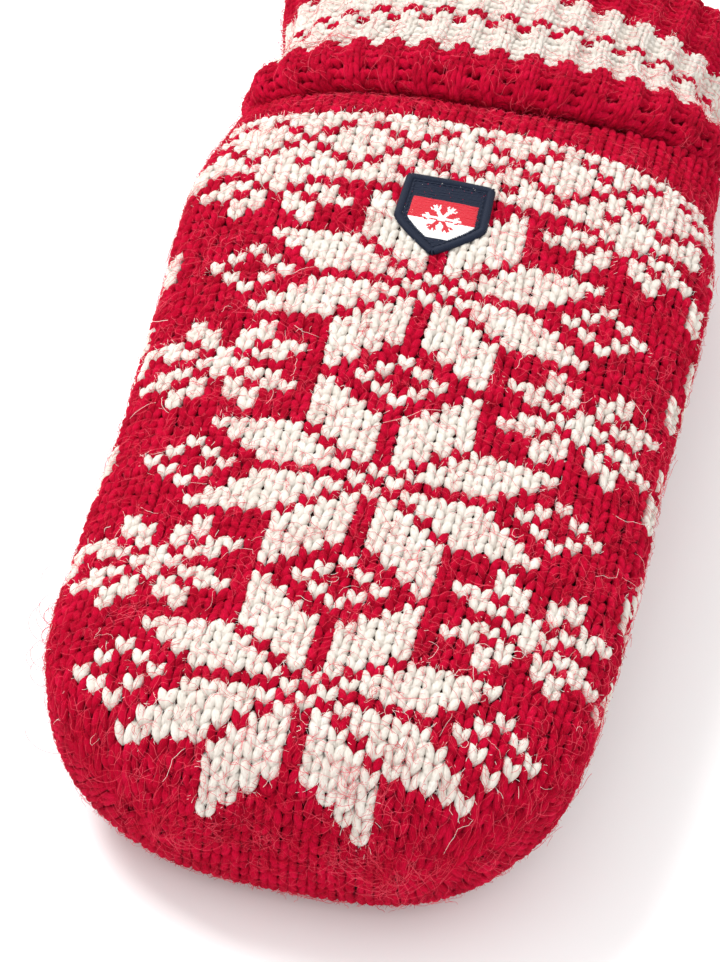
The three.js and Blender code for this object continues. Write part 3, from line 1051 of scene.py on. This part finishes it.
def rib_stitches(rib):
    """Columns and rows of all the stitches of a rib, and which are purl."""
    columns, rows = np.meshgrid(np.arange(-2 * RIBS, 2 * RIBS), np.arange(int(rib.vs[-1]) + 1))
    columns, rows = columns.ravel(), rows.ravel()
    return columns, rows, columns % 4 >= 2


def purl_bumps(fabric, s, v):
    """The bar of yarn that a purl stitch shows."""
    across = resample(np.array([-0.62, -0.34, 0.0, 0.34, 0.62]), 7) * RIB_COLUMN
    along = resample(np.array([-0.20, 0.10, 0.22, 0.10, -0.20]), 7)
    height = resample(np.array([-0.35, 0.20, 0.45, 0.20, -0.35]), 7)
    radius = resample(np.array([0.60, 0.92, 1.02, 0.92, 0.60]), 7)
    n = len(s)
    a = s[:, None] + across[None] + rng.normal(0, 0.06, (n, 1))
    b = v[:, None] + along[None] + rng.normal(0, 0.05, (n, 1))
    paths, normals = fabric.at(a, b, height[None] + rng.normal(0, 0.05, (n, 1)))
    return paths, radius[None] * rng.normal(1, 0.06, (n, 1)), normals


def knit_columns(name, rib, columns, rows, purl, mat):
    """One piece of the stitches at these columns and rows of the rib."""
    s, v = columns * RIB_COLUMN, rows.astype(float)
    wander = 0.25 * smooth_noise(s, v * ROW, 41, 22)
    if purl:
        paths, radii, normals = purl_bumps(rib, s + wander, v)
    else:
        # the knit columns of a rib lean towards each other
        s = s + np.where(columns % 4 == 0, -1, 1) * (RIB_KNIT - RIB_COLUMN) / 2
        paths, radii, normals = stitch_legs(rib, s + wander, v, width=RIB_KNIT, plump=1.3)
    yarn_object(name, paths, radii, normals, LEG_SIDES, mat, at_wrist)


def rib_fabric(y_from, inset, inner=False):
    ends = y_from, CUFF_END_Y, y_from
    return Rib(Fabric(cuff_section, *ends, "back", skew_cuff, inset=inset, inner=inner))


def knit_cuff():
    outer = rib_fabric(WRIST_Y - 1, outside)
    columns, rows, purl = rib_stitches(outer)
    # in the purl columns a new colour shows one row lower
    white = np.array([cuff_is_white(c, r + p) for c, r, p in zip(columns, rows, purl)])
    lower = rows < STRIPES[0][1]
    for name, mat, pick, is_purl in (
        ("cuff_white_knit", WHITE_WOOL, white & ~purl, False),
        ("cuff_white_purl", WHITE_WOOL, white & purl, True),
        ("cuff_lower_red_knit", RED_WOOL, ~white & ~purl & lower, False),
        ("cuff_upper_red_knit", RED_WOOL, ~white & ~purl & ~lower, False),
        ("cuff_red_purl", RED_WOOL, ~white & purl, True),
    ):
        knit_columns(name, outer, columns[pick], rows[pick], is_purl, mat)
    ends = 0.5, int(outer.vs[-1])
    add_nap("cuff", outer, cuff_is_white, 8000, *ends, at_wrist, RIB_COLUMN, around=True)
    add_fibres("cuff_fibres", outer, 3000, *ends, RED_FIBRE, at_wrist, around=True, scale=0.8)

    inner = rib_fabric(CUFF_END_Y - 24, inside, inner=True)
    columns, rows, purl = rib_stitches(inner)
    for name, pick, is_purl in (
        ("cuff_inside_knit", ~purl, False),
        ("cuff_inside_purl", purl, True),
    ):
        knit_columns(name, inner, columns[pick], rows[pick], is_purl, RED_WOOL)

    end = CUFF_END_Y - CAST_OFF
    wall = stretch(WRIST_Y, end, 1.7, 70) + stretch(end, WRIST_Y + 2, CUFF_WALL - 1, 40)
    backing = skin(
        "cuff_backing", cuff_section, wall, RED_WOOL, at_wrist, around=200, place=skew_cuff
    )
    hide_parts("cuff_rib")


knit_cuff()


# ---- the labels
LABEL_CENTRE = (LABEL_LOW + LABEL_HIGH) / 2
LABEL_WIDTH = LABEL_HIGH[0] - LABEL_LOW[0]
LABEL_HEIGHT = 21.5
LABEL_THICKNESS = 0.9
LABEL_SLOPE = math.atan(DROOP / (DROOP_Y - TIP_Y))
LABEL_BORDER = 1.5
LABEL_LIFT = 1.0  # above the fabric's chart, on top of the stitches
THREAD_PITCH, SAMPLE = 0.34, 0.12
THREAD_SIDES = 6
UPWARDS = [0.0, 0.0, 1.0]


def on_label(x, y, height):
    """A point of the label. It lies on the slope and follows the round back."""
    x, y, height = np.broadcast_arrays(x, y, height)
    sag = WIDEST_DROP * (1 - np.sqrt(1 - (x / PALM_HALF) ** 2))
    base = back_of_hand(LABEL_CENTRE[1]) + LABEL_LIFT
    c, s = math.cos(LABEL_SLOPE), math.sin(LABEL_SLOPE)
    up = height - sag
    along = LABEL_CENTRE[1] + c * y - s * up
    return np.stack([LABEL_CENTRE[0] + x, along, base + s * y + c * up], -1)


def label_half(y, inset=0.0):
    """Half the width of the shield at y: straight sides over a blunt point."""
    w, top = LABEL_WIDTH / 2 - inset, LABEL_HEIGHT / 2 - inset
    shoulder = -0.06 * LABEL_HEIGHT
    t = np.clip((shoulder - y) / (shoulder + top), 0, 1)
    side = (w - 0.35) + 0.35 * np.clip((top - y) / (top - shoulder), 0, 1)
    half = side * (1 - t**1.25)
    return np.where((y > top) | (y < -top), 0, half)


def label_outline(inset, count):
    """Evenly spaced points round the shield, with the way out at each."""
    top = LABEL_HEIGHT / 2 - inset
    y = np.concatenate([[top], np.linspace(top, -top, 400)])
    x = np.concatenate([[0], label_half(np.linspace(top - 1e-6, -top, 400), inset)])
    path = np.stack([np.concatenate([x, -x[::-1]]), np.concatenate([y, y[::-1]])], -1)
    run = np.concatenate([[0], np.cumsum(np.linalg.norm(np.diff(path, axis=0), axis=1))])
    t = np.linspace(0, run[-1], count, endpoint=False)
    points = np.stack([np.interp(t, run, path[:, k]) for k in (0, 1)], -1)
    along = np.roll(points, -1, 0) - np.roll(points, 1, 0)
    out = np.stack([-along[:, 1], along[:, 0]], -1)
    return points, out / np.linalg.norm(out, axis=1, keepdims=True)


def label_colour(x, y):
    """A plain design: a red and a white field with a snow crystal across them."""
    field = 1 if y >= -1.2 else 2
    if y > 4.6 or y < -6.2 or abs(x) > float(label_half(np.array(y), 2.6)):
        field = 0
    r, a = math.hypot(x, y + 0.6), math.atan2(y + 0.6, x)
    spoke = math.pi / 3
    off = (a + spoke / 2) % spoke - spoke / 2
    along, side = r * math.cos(off), abs(r * math.sin(off))
    branch = side < 1.1 and abs(along - side - 2.3) < 0.36
    crystal = along < 4.0 and (side < 0.40 or branch)
    if crystal and field:
        return 2 if field == 1 else 1
    return field


def weave_fields():
    """Weft threads, a run of each for every stretch of one colour."""
    runs = {0: [], 1: [], 2: []}
    for y in np.arange(-LABEL_HEIGHT / 2 + 0.5, LABEL_HEIGHT / 2 - 0.4, THREAD_PITCH):
        half = float(label_half(np.array(y), 0.5))
        if half < 0.6:
            continue
        xs = np.arange(-half, half, SAMPLE)
        colours = [label_colour(x, y) for x in xs]
        start = 0
        for k in range(1, len(xs) + 1):
            if k == len(xs) or colours[k] != colours[start]:
                end = xs[k - 1] + SAMPLE
                runs[colours[start]].append((xs[start] - 0.04, end + 0.04, y))
                start = k
    for colour, name, mat in (
        (0, "label_ground", NAVY_THREAD),
        (1, "label_red_field", RED_THREAD),
        (2, "label_white_field", WHITE_THREAD),
    ):
        spans = np.array(runs[colour])
        t = np.linspace(0, 1, 10)[None, :]
        x = spans[:, :1] + (spans[:, 1:2] - spans[:, :1]) * t
        y = spans[:, 2:3] + 0.03 * np.sin(x * 9 + spans[:, 2:3] * 7)
        paths = on_label(x, y, LABEL_THICKNESS + 0.04 * np.sin(x * 11 + y * 9.2))
        normals = np.broadcast_to(UPWARDS, paths.shape)
        yarn_object(name, paths, 0.19, normals, THREAD_SIDES, mat, at_wrist)


def back_label():
    """The body of the label, under the threads."""
    rows = np.linspace(-LABEL_HEIGHT / 2 + 0.3, LABEL_HEIGHT / 2 - 0.3, 30)
    t = np.linspace(-1, 1, 24)
    half = label_half(rows, 0.3)
    x = half[:, None] * t[None, :]
    top = on_label(x, rows[:, None], LABEL_THICKNESS - 0.05).reshape(-1, 3)
    low = on_label(x, rows[:, None], -0.6).reshape(-1, 3)
    n, m = len(rows), len(t)
    quads = grid_quads(n, m)
    grid = np.arange(n * m).reshape(n, m)
    rim = np.concatenate([grid[0], grid[1:, -1], grid[-1, -2::-1], grid[-2:0:-1, 0]])
    wall = np.stack([rim, rim + n * m, np.roll(rim, -1) + n * m, np.roll(rim, -1)], -1)
    faces = np.concatenate([quads, quads[:, ::-1] + n * m, wall])
    both = np.concatenate([top, low])
    body = new_object("label_body", both, faces, NAVY_THREAD, at_wrist, smooth=False)
    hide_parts("label_patch")


def bind_label():
    """The overlocked edge: thread wound over the rim."""
    reach = LABEL_BORDER / 2
    points, out = label_outline(reach, 230)
    turn = np.linspace(-0.45 * math.pi, 1.05 * math.pi, 9)
    lean = np.linspace(-0.16, 0.16, 9)
    step = np.stack([out[:, 1], -out[:, 0]], -1)
    flat = points[:, None] + out[:, None] * (reach * np.cos(turn))[None, :, None]
    flat = flat + step[:, None] * lean[None, :, None]
    height = LABEL_THICKNESS - 0.1 + 0.5 * np.sin(turn)
    paths = on_label(flat[..., 0], flat[..., 1], height)
    normals = paths - on_label(points[:, None, 0], points[:, None, 1], 0.3)
    normals /= np.linalg.norm(normals, axis=2, keepdims=True)
    yarn_object("label_edge", paths, 0.17, normals, THREAD_SIDES, NAVY_THREAD, at_wrist)


def sew_label():
    """Running stitches just inside the edge."""
    points, out = label_outline(LABEL_BORDER + 0.45, 46)
    along = np.stack([out[:, 1], -out[:, 0]], -1)
    t = np.linspace(-0.55, 0.55, 7)
    flat = points[:, None] + along[:, None] * t[None, :, None]
    height = LABEL_THICKNESS + 0.32 - 1.92 * t**2
    paths = on_label(flat[..., 0], flat[..., 1], height)
    normals = np.broadcast_to(UPWARDS, paths.shape)
    sewing = yarn_object("label_sewing", paths, 0.16, normals, THREAD_SIDES, NAVY_THREAD, at_wrist)
    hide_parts("label_stitching")


def fold_care_label():
    """A folded satin ribbon, caught in the side seam."""
    centre, size = (CARE_LOW + CARE_HIGH) / 2, CARE_HIGH - CARE_LOW
    t = np.linspace(0, 1, 40)
    fold = np.where(t < 0.5, -1, 1) * np.minimum(np.abs(t - 0.5) * 12, 1)
    x = centre[0] + 0.45 * fold + 0.5 * np.sin(3 * np.abs(t - 0.5) * math.pi)
    z = CARE_HIGH[2] - size[2] * (1 - np.abs(2 * t - 1) ** 1.05) * 0.98
    y = np.linspace(CARE_LOW[1], CARE_HIGH[1], 30)
    yy, k = np.meshgrid(y, np.arange(len(t)), indexing="ij")
    wave = 0.35 * np.sin(yy / 5.0)
    points = np.stack([x[k] + wave, yy, z[k]], -1).reshape(-1, 3)
    ribbon = new_object("care_ribbon", points, grid_quads(len(y), len(t)), SATIN, at_wrist)
    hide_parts("care_label")


weave_fields()
back_label()
bind_label()
sew_label()
fold_care_label()


# ---- camera and light
CAMERA_PLACE = np.array([68.6, -611.4, 586.5])  # mm
CAMERA_AZIMUTH, CAMERA_ELEVATION, CAMERA_ROLL = -0.1273, 0.7636, 0.106  # radians
CAMERA_LENS, CAMERA_SENSOR = 204.2, 36.0
WORLD_STRENGTH = 0.98
FLOOR_COLOUR, FLOOR_HALF = (0.93, 0.93, 0.93, 1), 3.0  # metres


def add_camera():
    data = bpy.data.cameras.new("camera")
    data.sensor_fit = "HORIZONTAL"
    data.sensor_width = CAMERA_SENSOR
    data.lens = CAMERA_LENS
    data.clip_end = 20
    camera = bpy.data.objects.new("camera", data)
    bpy.context.scene.collection.objects.link(camera)
    level, roll = math.cos(CAMERA_ELEVATION), CAMERA_ROLL
    forward = np.array(
        [
            math.sin(CAMERA_AZIMUTH) * level,
            math.cos(CAMERA_AZIMUTH) * level,
            -math.sin(CAMERA_ELEVATION),
        ]
    )
    right = np.cross(forward, [0, 0, 1])
    right /= np.linalg.norm(right)
    up = np.cross(right, forward)
    right, up = (
        math.cos(roll) * right + math.sin(roll) * up,
        -math.sin(roll) * right + math.cos(roll) * up,
    )
    matrix = np.eye(4)
    matrix[:3] = np.stack([right, up, -forward, CAMERA_PLACE * MM], -1)
    camera.matrix_world = Matrix(matrix.tolist())
    bpy.context.scene.camera = camera


def add_light(name, place, target, size, watts):
    data = bpy.data.lights.new(name, "AREA")
    data.size = size
    data.energy = watts
    light = bpy.data.objects.new(name, data)
    bpy.context.scene.collection.objects.link(light)
    light.location = place
    direction = Vector(target) - Vector(place)
    light.rotation_euler = direction.to_track_quat("-Z", "Y").to_euler()


def add_floor():
    mesh = bpy.data.meshes.new("floor")
    r = FLOOR_HALF
    mesh.from_pydata([(-r, -r, 0), (r, -r, 0), (r, r, 0), (-r, r, 0)], [], [(0, 1, 2, 3)])
    mat, _, shader = material("floor", 0.9)
    shader.inputs["Base Color"].default_value = FLOOR_COLOUR
    mesh.materials.append(mat)
    floor = bpy.data.objects.new("floor", mesh)
    bpy.context.scene.collection.objects.link(floor)


def add_world():
    world = bpy.data.worlds.new("studio")
    world.use_nodes = True
    background = world.node_tree.nodes["Background"]
    background.inputs["Color"].default_value = (1, 1, 1, 1)
    background.inputs["Strength"].default_value = WORLD_STRENGTH
    bpy.context.scene.world = world


add_camera()
add_light("key", (-0.75, 0.35, 1.1), (0, 0, 0.03), 0.6, 18)
add_light("front", (0.3, -1.0, 0.9), (0, -0.05, 0.03), 0.9, 5)
add_floor()
add_world()
bpy.context.scene.view_settings.view_transform = "Standard"
